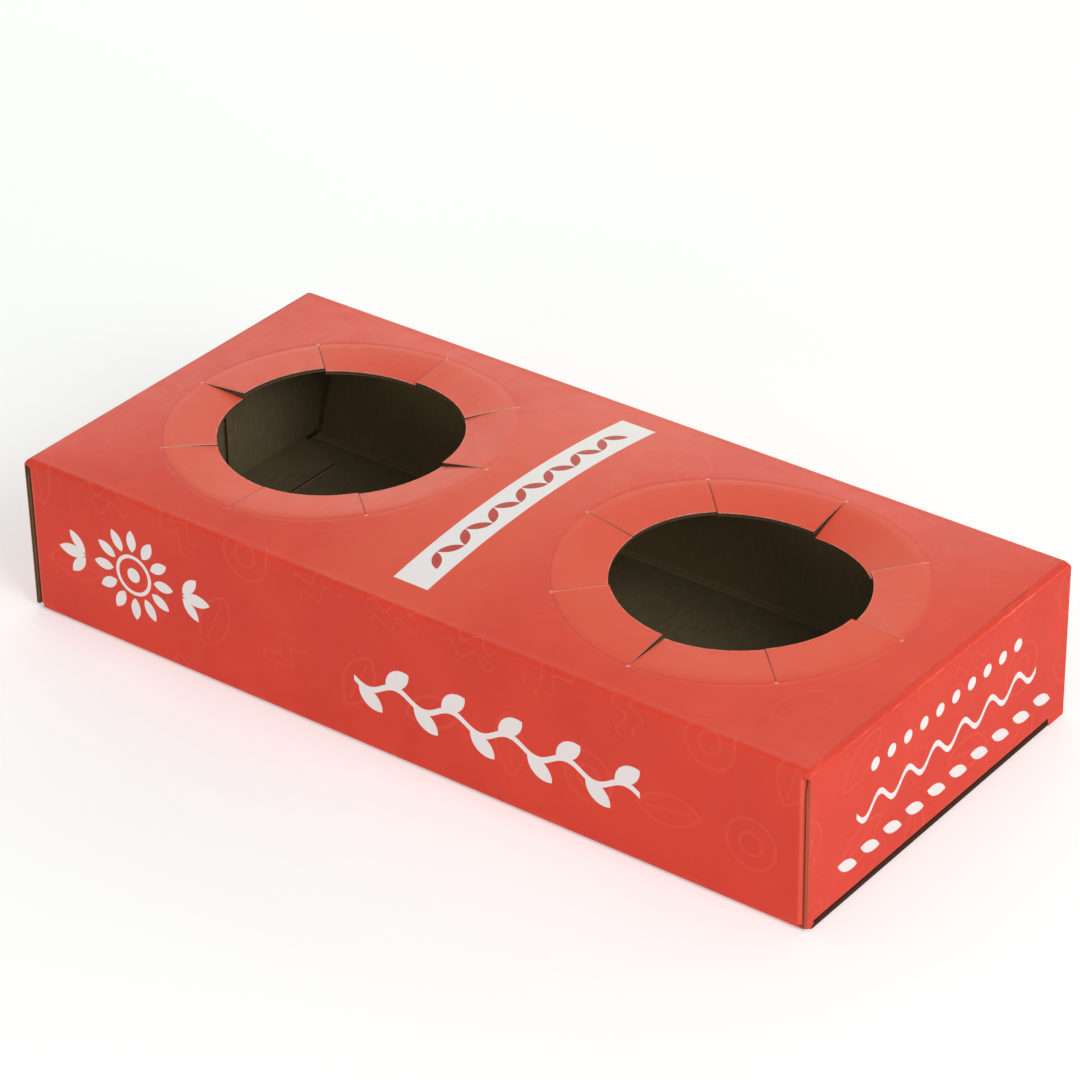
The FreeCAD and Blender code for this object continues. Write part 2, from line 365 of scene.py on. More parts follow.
@dataclass
class FoldedBoard:
    """The whole tray, in millimetres: one sheet with its top, four walls, floor, flaps and tabs."""

    length: float
    width: float
    crown: float
    holes: tuple[CupHole, CupHole]
    blank: Blank = field(default_factory=Blank)
    arch: float = 5.7
    board: float = 1.2
    bend: float = 2.0
    lap: float = 0.2
    edge_gap: float = 0.3
    tab_length: float = 43.0
    tab_relief: float = 1.0
    tab_lift: float = 1.0
    floor_flap: float = 19.0
    floor_taper: float = 7.0
    back_flap: float = 36.0
    back_inset: float = 0.9
    back_taper: float = 9.0
    foot_length: float = 8.0
    foot_step: float = 0.6
    front_relief: float = 3.0
    ear: float = 0.5
    panel_rows: int = 10
    sharp_degrees: float = 38.0
    unevenness: float = 0.22
    ripples: float = 0.021

    @property
    def height(self) -> float:
        """Gives the height of the top panel at its borders."""
        return self.crown - self.arch

    @property
    def top_x(self) -> float:
        """Gives half the length of the top panel between its end folds."""
        return self.length / 2 - self.bend

    @property
    def top_y(self) -> float:
        """Gives half the width of the top panel between its long folds."""
        return self.width / 2 - self.bend

    @property
    def wall_x(self) -> float:
        """Gives half the length of the front and back panels, which end inside the end panels."""
        return self.top_x - self.board - self.lap

    @property
    def fold_z(self) -> float:
        """Gives the height of the lines that the walls are folded about."""
        return self.height - self.bend

    @property
    def arc(self) -> float:
        """Gives how much of the flat sheet a fold takes."""
        return math.pi / 2 * self.bend

    def level(self, x: float, y: float) -> float:
        """Gives the height of the arched top at a place in plan."""
        return self.height + self.arch * (1 - (x / self.top_x) ** 4) * (1 - (y / self.top_y) ** 2)

    def draw_top(self) -> None:
        """Draws both halves of the top panel and joins them along the middle."""
        bm = self.blank.bm
        for hole in self.holes:
            hole.build(self.blank, self.top_x, self.top_y)
        for vert in bm.verts:
            vert[self.blank.flat] = vert.co
        for hole in self.holes:
            hole.lay(self.level)
        middle = [vert for vert in bm.verts if abs(vert.co.x) < CLOSE]
        bmesh.ops.remove_doubles(bm, verts=middle, dist=CLOSE)

    def fold_wall(self, depth: int, side: Side, foot_z: float) -> Strip:
        """Folds down the front panel or the back panel.

        Args:
            depth: -1 for the front panel, 1 for the back one.
            side: the surface that it is.
            foot_z: the height that it reaches down to.

        Returns:
            The strip, which goes on at the panel's foot.
        """
        edge_y = depth * self.top_y
        wall = Strip(self.blank, self.blank.border(Y, edge_y), X, BACK * depth, side)
        wall.fold(Vector((0, edge_y, self.fold_z)), -depth * 90)
        wall.panel(UP * -self.ear, 1, (-self.wall_x, self.wall_x))
        wall.panel(UP * (foot_z - self.fold_z + self.ear), self.panel_rows)
        return wall

    def fold_bottom(self, strip: Strip) -> None:
        """Folds in the bottom panel, and then the flap that is glued inside the back panel.

        Args:
            strip: the front panel's strip.
        """
        foot = self.top_x + self.board / 2
        bottom = self.length / 2 - self.edge_gap
        flap = self.wall_x - self.back_inset
        inside_back = self.top_y - self.board - self.lap
        back_foot = self.width / 2 - self.foot_length - self.foot_step
        strip.side = Side.PLAIN
        strip.fold(Vector((0, -self.top_y, self.bend)), 90, (-foot, foot))
        strip.panel(BACK * self.foot_step, 1, (-bottom, bottom))
        strip.panel(BACK * (self.top_y + back_foot - self.foot_step), self.panel_rows)
        strip.panel(BACK * self.foot_step, 1, (-foot, foot))
        strip.panel(BACK * (inside_back - back_foot - self.foot_step))
        strip.fold(Vector((0, inside_back, self.bend)), 90, (-flap, flap))
        strip.panel(UP * self.back_flap, 4, (self.back_taper - flap, flap - self.back_taper))

    def fold_tabs(self) -> None:
        """Folds the four corner tabs in from the front and back panels."""
        for end, depth in CORNERS:
            face = depth * self.width / 2
            edges = [
                edge for edge in self.blank.border(X, end * self.wall_x)
                if all(abs(vert.co.y - face) < CLOSE for vert in edge.verts)
            ]
            tab = Strip(self.blank, edges, Z, RIGHT * end, Side.PLAIN)
            tab.fold(Vector((end * self.wall_x, depth * self.top_y, 0)), -end * depth * 90)
            span = (self.bend + self.tab_lift, self.fold_z - self.ear)
            tab.panel(BACK * (-depth * self.tab_relief), 1, span)
            tab.panel(BACK * (-depth * (self.tab_length - self.tab_relief)), 4)

    def fold_end(self, end: int) -> None:
        """Folds down one end panel and the floor flap at its foot.

        Args:
            end: 1 for the right end, -1 for the left one.
        """
        half = self.width / 2 - self.edge_gap
        flap_z = self.bend + self.board + self.lap
        front_y = self.front_relief - self.edge_gap - half
        back_y = half - self.foot_length
        edges = [
            edge for edge in self.blank.border(X, end * self.top_x)
            if all(vert.co.z > self.height - CLOSE for vert in edge.verts)
        ]
        strip = Strip(self.blank, edges, Y, RIGHT * end, Side.RIGHT_END if end > 0 else Side.PLAIN)
        strip.fold(Vector((end * self.top_x, 0, self.fold_z)), end * 90, (-half, half))
        strip.panel(UP * (flap_z - self.fold_z), self.panel_rows)
        for place in (front_y, back_y):
            faces = {face for edge in strip.edges for face in edge.link_faces}
            cut = [*faces, *{edge for face in faces for edge in face.edges}]
            bmesh.ops.bisect_plane(
                self.blank.bm, geom=cut, plane_co=BACK * place, plane_no=BACK, dist=CLOSE
            )
            foot = self.blank.border(Z, flap_z)
            strip.edges = [edge for edge in foot if edge.verts[0].co.x * end > self.top_x + 1]
        low, high = strip.span()
        strip.part(low, front_y).panel(UP * -self.bend)
        strip.part(back_y, high).panel(UP * -flap_z)
        flap = strip.part(front_y, back_y)
        flap.side = Side.PLAIN
        flap.fold(Vector((end * self.top_x, 0, flap_z)), end * 90)
        tapered = (front_y + self.floor_taper, back_y - self.floor_taper)
        flap.panel(RIGHT * (-end * self.floor_flap), 3, tapered)

    def close_corners(self) -> None:
        """Closes the crushed corners between the rounded long folds and the rounded end folds."""
        rim = [
            vert for vert in self.blank.bm.verts
            if vert.is_boundary and vert.co.z > self.fold_z - CLOSE
            and abs(vert.co.x) > self.top_x - CLOSE and abs(vert.co.y) > self.top_y - CLOSE
        ]
        for end, depth in CORNERS:
            own = [vert for vert in rim if vert.co.x * end > 0 and vert.co.y * depth > 0]
            own.sort(key=lambda vert: -vert.co.z)
            along = [vert for vert in own if abs(vert.co.x) < self.top_x + CLOSE]
            across = [own[0]] + [vert for vert in own if abs(vert.co.x) > self.top_x + CLOSE]
            pairs = list(zip(along, across))
            for (a, b), (c, d) in zip(pairs, pairs[1:]):
                face = self.blank.bm.faces.new(list(dict.fromkeys((a, c, d, b))))
                face.material_index = Side.PLAIN

    def bow(self) -> None:
        """Bows the walls inwards a little and ripples the top, as limp board does."""
        for vert in self.blank.bm.verts:
            x, y, z = vert.co
            sag = self.unevenness * (0.5 + 0.5 * noise.noise(vert.co * self.ripples))
            upright = math.sin(math.pi * min(max(z / self.height, 0.0), 1.0))
            if abs(y) > self.top_y + self.bend / 2 and z < self.height:
                vert.co.y -= math.copysign(sag * upright, y)
            elif abs(x) > self.top_x and z < self.height:
                vert.co.x -= math.copysign(sag * upright, x)
            elif z > self.height - self.arch:
                vert.co.z -= sag * (self.level(x, y) - self.height) / self.arch

    def fold(self) -> None:
        """Draws the whole open skin, turns its faces outwards and bows it."""
        bm = self.blank.bm
        self.draw_top()
        self.fold_bottom(self.fold_wall(-1, Side.FRONT, self.bend))
        self.fold_wall(1, Side.PLAIN, 0.0)
        self.fold_tabs()
        self.fold_end(1)
        self.fold_end(-1)
        self.close_corners()
        bmesh.ops.recalc_face_normals(bm, faces=bm.faces)
        highest = max(bm.faces, key=lambda face: face.calc_center_median().z)
        if highest.normal.z < 0:
            bmesh.ops.reverse_faces(bm, faces=bm.faces)
        self.bow()

    def thicken(self, skin: bpy.types.Object) -> bpy.types.Mesh:
        """Gives the open skin the board's thickness, inwards from its printed side.

        Args:
            skin: the object that holds the skin.

        Returns:
            The closed mesh, with the inner side and the cut edges on their own material slots.
        """
        outer = len(skin.data.vertices)
        wall = skin.modifiers.new("board", "SOLIDIFY")
        wall.thickness = self.board * MM
        wall.offset = -1.0
        wall.use_even_offset = True
        wall.use_quality_normals = True
        graph = bpy.context.evaluated_depsgraph_get()
        mesh = bpy.data.meshes.new_from_object(skin.evaluated_get(graph))
        depth = mesh.attributes.new(DEPTH, "FLOAT", "POINT")
        for number, value in enumerate(depth.data):
            value.value = 0.0 if number < outer else 1.0
        for vert in mesh.vertices:
            vert.co.z = max(vert.co.z, 0.0)
        for face in mesh.polygons:
            inner = sum(number >= outer for number in face.vertices)
            if inner == len(face.vertices):
                face.material_index = Side.INSIDE
            elif inner:
                face.material_index = Side.CUT_EDGE
        return mesh

    def build(self) -> bpy.types.Object:
        """Builds the folded board and puts it in the place of its solid.

        Returns:
            The finished piece, not dressed yet.
        """
        self.fold()
        mesh = bpy.data.meshes.new("skin")
        self.blank.bm.to_mesh(mesh)
        self.blank.bm.free()
        mesh.transform(Matrix.Scale(MM, 4))
        for side in Side:
            mesh.materials.append(bpy.data.materials.new(side.name.lower()))
        skin = placed("skin", mesh)
        solid = self.thicken(skin)
        bpy.data.objects.remove(skin)
        solid.name = PIECE
        solid.shade_smooth()
        solid.set_sharp_from_angle(angle=math.radians(self.sharp_degrees))
        piece = placed(PIECE, solid)
        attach(piece, BODY)
        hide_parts(NODE)
        return piece


def placed(name: str, data: bpy.types.ID) -> bpy.types.Object:
    """Puts a new object that holds the data into the scene."""
    made = bpy.data.objects.new(name, data)
    bpy.context.scene.collection.objects.link(made)
    return made


def joined(operation: str) -> Callable[["Value", "Value | float"], "Value"]:
    """Makes the method that adds one kind of Math node, with one more value.

    Args:
        operation: the node's operation.

    Returns:
        The method.
    """
    def method(value: "Value", other: "Value | float") -> "Value":
        """Joins two values by the operation."""
        return value.math(operation, other)

    return method


class Value:
    """A number that changes over a surface. Python's operators on it add Math nodes.

    Least takes the smaller of two values, which joins two shapes, and most takes the larger, which
    keeps what two shapes share. Beyond gives 1 where the value is over a limit, and 0 elsewhere.
    """

    __add__ = __radd__ = joined("ADD")
    __sub__ = joined("SUBTRACT")
    __mul__ = __rmul__ = joined("MULTIPLY")
    __truediv__ = joined("DIVIDE")
    least = joined("MINIMUM")
    most = joined("MAXIMUM")
    beyond = joined("GREATER_THAN")

    def __init__(self, shader: "Shader", socket: bpy.types.NodeSocket) -> None:
        """Wraps a node's socket."""
        self.shader = shader
        self.socket = socket

    def math(self, operation: str, *others: "Value | float") -> "Value":
        """Adds one Math node that takes this value first."""
        node = self.shader.node("ShaderNodeMath", dict(enumerate((self, *others))), operation=operation)
        return Value(self.shader, node.outputs[0])

    def __rsub__(self, other: float) -> "Value":
        """Takes this value away from a number."""
        return -self + other

    def __neg__(self) -> "Value":
        """Turns the sign."""
        return self * -1.0

    def __abs__(self) -> "Value":
        """Drops the sign."""
        return self.math("ABSOLUTE")

    def ramp(self, low: float, high: float) -> "Value":
        """Runs smoothly from 0 at low to 1 at high."""
        sockets = {"Value": self, "From Min": low, "From Max": high, "To Min": 0.0, "To Max": 1.0}
        node = self.shader.node("ShaderNodeMapRange", sockets, interpolation_type="SMOOTHSTEP")
        return Value(self.shader, node.outputs["Result"])

    def raised(self, least: float) -> "Value":
        """Squeezes a share, from 0 to 1, into what lies between a least share and 1."""
        return least + (1 - least) * self

    def wave(self, length: float) -> "Value":
        """Swings between -1 and 1, once over each length."""
        return (self * (2 * math.pi / length)).math("SINE")

    def cell(self, pitch: float) -> tuple["Value", "Value"]:
        """Gives the number of a step, where steps have one pitch, and the place from the step's middle."""
        number = (self / pitch).math("FLOOR")
        return number, self - (number + 0.5) * pitch

    def alternating(self) -> "Value":
        """Gives 1 for an even number and -1 for an odd one."""
        half = self / 2
        return 1 - 4 * (half - half.math("FLOOR"))

    def clipped(self, place: "Value", half: float) -> "Value":
        """Cuts a shape off where a place lies more than half a width from 0."""
        return self.most(abs(place) - half)

    def drawn(self, blur: float = 0.12) -> "Value":
        """Fills the inside of a shape, given how far each point lies outside it."""
        return 1 - self.ramp(-blur, blur)

    def line(self, middle: "Value | float", half: float, blur: float) -> "Value":
        """Draws a line where the value passes its middle, by half the line's width and its blur."""
        return (abs(self - middle) - half).drawn(blur)


@dataclass(frozen=True)
class Spot:
    """A point of the flat sheet, as two values in millimetres."""

    u: Value
    v: Value

    def moved(self, u: float, v: float) -> "Spot":
        """Measures from another origin."""
        return Spot(self.u - u, self.v - v)

    def along(self, sine: Value | float, cosine: Value | float) -> "Spot":
        """Measures along axes that are turned by an angle with this sine and cosine."""
        return Spot(self.u * cosine + self.v * sine, self.v * cosine - self.u * sine)

    def turned(self, degrees: float) -> "Spot":
        """Measures along axes that are turned by an angle."""
        return self.along(math.sin(math.radians(degrees)), math.cos(math.radians(degrees)))

    def reach(self) -> Value:
        """Gives the distance from the origin."""
        return (self.u * self.u + self.v * self.v).math("SQRT")

    def spokes(self, count: int, turn: Value | float = 0.0) -> tuple[Value, Value]:
        """Finds the nearest of some spokes that stand evenly about the origin.

        Args:
            count: how many spokes there are.
            turn: the angle of the first one.

        Returns:
            The spoke's number, and the distance across it.
        """
        sector = 2 * math.pi / count
        angle = self.v.math("ARCTAN2", self.u) - turn
        number = (angle / sector).math("ROUND")
        return number, (angle - number * sector) * self.reach()

    def disc(self, radius: float) -> Value:
        """Gives the distance outside a disc."""
        return self.reach() - radius

    def ring(self, radius: float, line: float) -> Value:
        """Gives the distance outside a ring drawn with a line of some width."""
        return abs(self.reach() - radius) - line / 2

    def box(self, half_u: float, half_v: float) -> Value:
        """Gives the distance outside a rectangle."""
        return (abs(self.u) - half_u).most(abs(self.v) - half_v)

    def leaf(self, length: float, width: float) -> Value:
        """Gives the distance outside a leaf along u, from its length and the width of its middle."""
        radius = (length ** 2 + width ** 2) / 4 / width
        return Spot(self.u, abs(self.v) + (radius - width / 2)).disc(radius)


class Shader:
    """The nodes of a material or of the surroundings, which read the board's flat sheet."""

    def __init__(self, owner: bpy.types.Material | bpy.types.World) -> None:
        """Clears the nodes of their owner."""
        self.owner = owner
        owner.use_nodes = True
        self.tree = owner.node_tree
        self.tree.nodes.clear()

    def node(self, kind: str, sockets: Mapping[Any, Any], **settings: Any) -> bpy.types.Node:
        """Adds one node.

        Args:
            kind: the node's type.
            sockets: the values or links of its sockets, by name or number.
            settings: its own settings, which are set first.

        Returns:
            The node.
        """
        node = self.tree.nodes.new(kind)
        for name, value in settings.items():
            setattr(node, name, value)
        for name, value in sockets.items():
            source = value.socket if isinstance(value, Value) else value
            if isinstance(source, bpy.types.NodeSocket):
                self.tree.links.new(source, node.inputs[name])
            else:
                node.inputs[name].default_value = source
        return node

    def attribute(self, name: str, output: str) -> bpy.types.NodeSocket:
        """Reads an attribute of the mesh."""
        node = self.node("ShaderNodeAttribute", {}, attribute_type="GEOMETRY", attribute_name=name)
        return node.outputs[output]

    @cached_property
    def spot(self) -> Spot:
        """Reads a point's place on the flat sheet."""
        parts = self.node("ShaderNodeSeparateXYZ", {0: self.attribute(FLAT, "Vector")})
        return Spot(Value(self, parts.outputs["X"]), Value(self, parts.outputs["Y"]))

    def grain(self, size: float, detail: float = 2.0, stretch: float = 1.0) -> Value:
        """Reads soft noise over the flat sheet.

        Args:
            size: the noise's main size in millimetres.
            detail: how many finer layers it has.
            stretch: how much longer it is along v.

        Returns:
            A value around 0.5.
        """
        scale = (1 / size, 1 / size / stretch, 1 / size)
        place = self.node(
            "ShaderNodeVectorMath", {0: self.attribute(FLAT, "Vector"), 1: scale}, operation="MULTIPLY"
        )
        sockets = {"Vector": place.outputs[0], "Scale": 1.0, "Detail": detail}
        return Value(self, self.node("ShaderNodeTexNoise", sockets).outputs["Fac"])

    def random(self, u: Value, v: Value, seed: float) -> Value:
        """Gives one random number from 0 to 1 for each pair of cell numbers."""
        place = self.node("ShaderNodeCombineXYZ", {0: u, 1: v, 2: seed})
        node = self.node("ShaderNodeTexWhiteNoise", {"Vector": place.outputs[0]}, noise_dimensions="3D")
        return Value(self, node.outputs["Value"])

    def seen(self) -> Value:
        """Gives 1 where the camera looks, straight or by mirrors and clear things, and 0 elsewhere."""
        outputs = self.node("ShaderNodeLightPath", {}).outputs
        kinds = ("Is Camera Ray", "Is Glossy Ray", "Is Transmission Ray")
        return reduce(Value.most, (Value(self, outputs[kind]) for kind in kinds))

    def paint(self, ground: Any, *coats: tuple[Value | None, Colour]) -> Any:
        """Lays coats of colour over one another.

        Args:
            ground: the colour under them.
            coats: the share of the surface that each coat covers, and its colour.

        Returns:
            The colour that results.
        """
        for share, colour in coats:
            if share is not None:
                sockets = {0: share, 6: ground, 7: colour}
                ground = self.node("ShaderNodeMix", sockets, data_type="RGBA").outputs[2]
        return ground

    def bump(self, height: Value, distance: float, strength: float) -> bpy.types.NodeSocket:
        """Makes the normal of a height, given how many millimetres 1 stands up and how much of it shows."""
        sockets = {"Height": height, "Distance": distance * MM, "Strength": strength}
        return self.node("ShaderNodeBump", sockets).outputs["Normal"]

    def finish(
        self, colour: Any, roughness: Any, shine: float, more: Mapping[str, Any]
    ) -> bpy.types.Material:
        """Adds the surface shader and the output.

        Args:
            colour: the surface's colour.
            roughness: its roughness.
            shine: its level of reflection.
            more: the values and links of other sockets.

        Returns:
            The finished material.
        """
        sockets = {"Base Color": colour, "Roughness": roughness, "Specular IOR Level": shine, **more}
        surface = self.node("ShaderNodeBsdfPrincipled", sockets)
        self.node("ShaderNodeOutputMaterial", {"Surface": surface.outputs[0]})
        return self.owner


@dataclass(frozen=True)
class Finish:
    """The material of one of the board's surfaces.

    Relief gives how far its bumps stand up in millimetres, and how much of them shows.
    """

    name: str
    board: FoldedBoard
    shine: float = 0.5
    relief: Pair = (0.06, 0.6)

    @cached_property
    def shader(self) -> Shader:
        """Starts the material's nodes."""
        return Shader(bpy.data.materials.new(self.name))

    @property
    def spot(self) -> Spot:
        """Gives the place on the flat sheet."""
        return self.shader.spot

    def finished(self, colour: Any, roughness: Any, height: Value) -> bpy.types.Material:
        """Makes the material from its colour, its roughness and the height of its relief."""
        normal = self.shader.bump(height, *self.relief)
        return self.shader.finish(colour, roughness, self.shine, {"Normal": normal})


@dataclass(frozen=True)
class RedPrint(Finish):
    """Red satin print on the board's outside, with faint line motifs, worn folds, and corner fold bands
    lightened partly as worn print and partly as painted light.

    A crack or scuff has its distance past the fold's start, half its width, and its blur.
    """

    red: Colour = ink(223, 56, 27)
    deep: Colour = ink(216, 51, 23)
    motif: Colour = ink(231, 78, 50)
    crack: Colour = ink(160, 22, 14)
    # Light scuffs on the folds, also used as painted light on the shaded corner fold bands.
    scuff_and_painted_light: Colour = ink(252, 128, 104)
    # Bare board at slit ends and hole rims, also used as a painted highlight on the slits that catch the
    # light.
    bare_and_highlight: Colour = ink(238, 150, 132)
    # A lighter, hazier red, laid on the top as a painted sheen.
    pale: Colour = ink(226, 76, 44)
    white: Colour = ink(243, 240, 238)
    # The leaves' second ink, which also paints the shade in the unlit slits and the pressed grooves.
    second_ink_and_shade: Colour = ink(188, 52, 42)
    roughness: float = 0.58
    motif_cell: float = 27.0
    motif_line: float = 1.0
    motif_share: float = 0.42
    motif_leaf: Pair = (21.0, 10.0)
    motif_rib: float = 7.5
    motif_rings: Pair = (8.0, 3.6)
    motif_wave: Pair = (9.0, 2.8)
    end_crack: Line = (0.1, 0.3, 0.25)
    side_crack: Line = (0.4, 0.2, 0.3)
    side_crack_share: float = 0.25
    crack_share: float = 0.7
    end_scuff: Line = (2.262, 0.22, 0.2)
    side_scuff: Line = (2.199, 0.15, 0.25)
    side_scuff_share: float = 0.2
    scuff_share: float = 0.9
    # How much the corner fold bands are lightened, partly worn print and partly painted light.
    corner_share: float = 0.4
    crease_half: float = 1.5

    def motifs(self) -> Value:
        """Scatters leaf, ring and wave outlines over the sheet, one to a cell.

        Returns:
            1 on a motif's line, and 0 elsewhere.
        """
        line = self.motif_line
        wave_half, wave_gap = self.motif_wave
        row, v = self.spot.v.cell(self.motif_cell)
        column, u = (self.spot.u + row * (self.motif_cell / 2)).cell(self.motif_cell)
        kind = self.shader.random(column, row, 1.0)
        angle = self.shader.random(column, row, 2.0) * (2 * math.pi)
        local = Spot(u, v).along(angle.math("SINE"), angle.math("COSINE"))
        leaf = (abs(local.leaf(*self.motif_leaf)) - line / 2).least(local.box(self.motif_rib, line / 3))
        rings = reduce(Value.least, (local.ring(radius, line) for radius in self.motif_rings))
        swing = local.v - (local.u * 0.7).math("SINE") * 2.0
        waves = (abs(abs(swing) - wave_gap) - line / 2).clipped(local.u, wave_half)
        first, second = kind.beyond(0.36), kind.beyond(0.7)
        return (leaf * (1 - first) + rings * (first - second) + waves * second).drawn(0.25)

    def fold_wear(self) -> tuple[Value, Value]:
        """Draws the cracked print along the end folds and the long folds, and lightens the corner fold
        bands, partly as worn print and partly as painted light.

        Returns:
            The dark cracks, and the light scuffs with the painted light on the corner fold bands, each from
            0 to 1.
        """
        board, spot = self.board, self.spot
        wander = (self.shader.grain(3.5, 3.0) - 0.5) * 1.2
        patches = self.shader.grain(9.0).ramp(0.42, 0.62)
        fine = self.shader.grain(1.2).ramp(0.4, 0.6)
        past_end = abs(spot.u) - board.top_x + wander
        past_side = abs(spot.v) - board.top_y + wander
        toward_back = spot.v.ramp(-60.0, 50.0).raised(0.35)
        dark = past_end.line(*self.end_crack).most(past_side.line(*self.side_crack) * self.side_crack_share)
        light = past_end.line(*self.end_scuff)
        light = light.most(past_side.line(*self.side_scuff) * self.side_scuff_share)
        light = light * fine.raised(0.5) * patches.raised(0.35) * toward_back
        # Corner fold bands: lightened in the recess by the end panels, where the board lies in shade;
        # partly worn print, partly painted light.
        corner = abs(spot.u).line(board.wall_x + 1.0, 0.6, 0.7) * abs(spot.v).beyond(board.width / 2 + 1)
        return dark * patches.raised(0.3) * toward_back, light.most(corner * self.corner_share)

    def painted_sheen_share(self) -> Value | None:
        """Says how much of the red gets a painted sheen, a lighter and hazier red, or nothing if this panel
        gets none.
        """
        return None

    def marks(self) -> list[tuple[Value, Colour]]:
        """Lists the coats of colour that only this panel has, as shares and colours."""
        return []

    def material(self) -> bpy.types.Material:
        """Makes the material."""
        dark, light = self.fold_wear()
        colour = self.shader.paint(
            self.deep,
            (self.shader.grain(38.0).ramp(0.35, 0.65), self.red),
            # Painted sheen: the lighter red stands in for the reflection haze on the top.
            (self.painted_sheen_share(), self.pale),
            (self.motifs() * self.motif_share, self.motif),
            (dark * self.crack_share, self.crack),
            (light * self.scuff_share, self.scuff_and_painted_light),
            *self.marks(),
        )
        past_fold = abs(self.spot.v) - self.board.top_y - self.board.bend / 2
        creases = past_fold.line(0.0, self.crease_half, self.crease_half) * self.shader.grain(4.5, 1.0)
        flutes = self.spot.u.wave(FLUTE_PITCH)
        height = self.shader.grain(0.45, 3.0) * 0.35 + flutes * 0.25 - dark * 0.4
        height = height + self.shader.grain(14.0) * 2.0 + creases * 5.0
        roughness = self.roughness + 0.16 * (self.shader.grain(6.0, 3.0) - 0.5) + light * 0.2
        return self.finished(colour, roughness, height)


@dataclass(frozen=True)
class TopPrint(RedPrint):
    """The top's print: a white stripe with a braid of red leaves, a painted sheen, painted shade in the
    unlit slits and the pressed grooves, a painted highlight on the slits that catch the light, and worn
    slit ends and hole rims.
    """

    motif_share: float = 0.22
    stripe_centre: Pair = (-2.0, -0.5)
    stripe_half: Pair = (6.1, 54.1)
    leaf_pitch: float = 6.5
    leaf_size: Pair = (8.0, 3.0)
    leaf_tilt: float = 38.0
    leaves_half: float = 45.5
    rise_shift: float = 6.0
    # How much painted sheen the rise between the holes gets, and the least that the rest of the top gets.
    rise_sheen: float = 0.9
    least_sheen: float = 0.25
    slit_half: float = 0.26
    groove_half: float = 0.3

    def from_hole(self) -> Spot:
        """Measures from the centre of the nearer cup hole, along u away from the middle of the tray."""
        return Spot(abs(self.spot.u) - self.board.holes[1].centre, self.spot.v)

    def painted_sheen_share(self) -> Value | None:
        """Paints a sheen on the cup flaps, the rise between the holes and, a little, the rest of the top.
        """
        flaps = self.from_hole().disc(self.board.holes[1].hinge).drawn(1.0)
        rise = 1 - abs(self.spot.u + self.rise_shift).ramp(10.0, 45.0)
        return flaps.most(rise * self.rise_sheen).most(self.least_sheen)

    def slits(self) -> tuple[Value, Value, Value]:
        """Finds the slits of both cup holes.

        Returns:
            How much of a slit is here, whether it is one that catches the light, and how far its end is.
        """
        left, right = self.board.holes
        local = self.from_hole()
        side = self.spot.u.beyond(0.0)
        turn = side * math.radians(right.turn) - (1 - side) * math.radians(left.turn)
        number, across = local.spokes(len(right.presses), turn)
        past = local.disc(right.hinge)
        slit = across.line(0.0, self.slit_half, 0.16) * (1 - past.ramp(-0.3, 0.3))
        lit = ((number + 1 - 2 * side) * (math.pi / 2)).math("COSINE").beyond(0.5)
        return slit, lit, Spot(past - 0.2, across).reach()

    def marks(self) -> list[tuple[Value, Colour]]:
        """Draws the stripe, a braid of red leaves along it, painted shade in the grooves and the unlit
        slits, a painted highlight on the lit slits, and the wear at slit ends and hole rims.

        Returns:
            The white, the dark red of the leaves with the painted shade, and the bare board with the
            painted highlight, as shares and colours.
        """
        hole, right = self.from_hole(), self.board.holes[1]
        local = self.spot.moved(*self.stripe_centre)
        stripe = local.box(*self.stripe_half).drawn()
        number, along = local.v.cell(self.leaf_pitch)
        leaf = Spot(along, local.u * number.alternating()).turned(self.leaf_tilt).leaf(*self.leaf_size)
        leaves = leaf.clipped(local.v, self.leaves_half).drawn()
        slit, lit, end = self.slits()
        # Painted shade in the pressed groove, stronger on the front half of each ring.
        groove = hole.reach().line(right.hinge, self.groove_half, self.groove_half)
        groove = groove * (-self.spot.v).ramp(5.0, 40.0)
        # The leaves are print; the dark in the unlit slits and the grooves is painted shade.
        dark = leaves.most(slit * (1 - lit) * 0.7).most(groove * 0.45)
        nick = (end - self.shader.grain(4.0, 1.0) * 1.1).drawn(0.2)
        rim = (hole.disc(right.radius) - 0.28).drawn(0.2)
        worn = self.shader.grain(2.2).ramp(0.38, 0.66)
        # Nicks and worn rims are bare board; the light on the lit slits is a painted highlight.
        bare_and_highlight = (nick * 0.8).most(rim * 0.7 * worn).most(slit * lit * (0.5 + 0.4 * worn))
        return [(stripe, self.white), (dark, self.second_ink_and_shade), (bare_and_highlight, self.bare_and_highlight)]


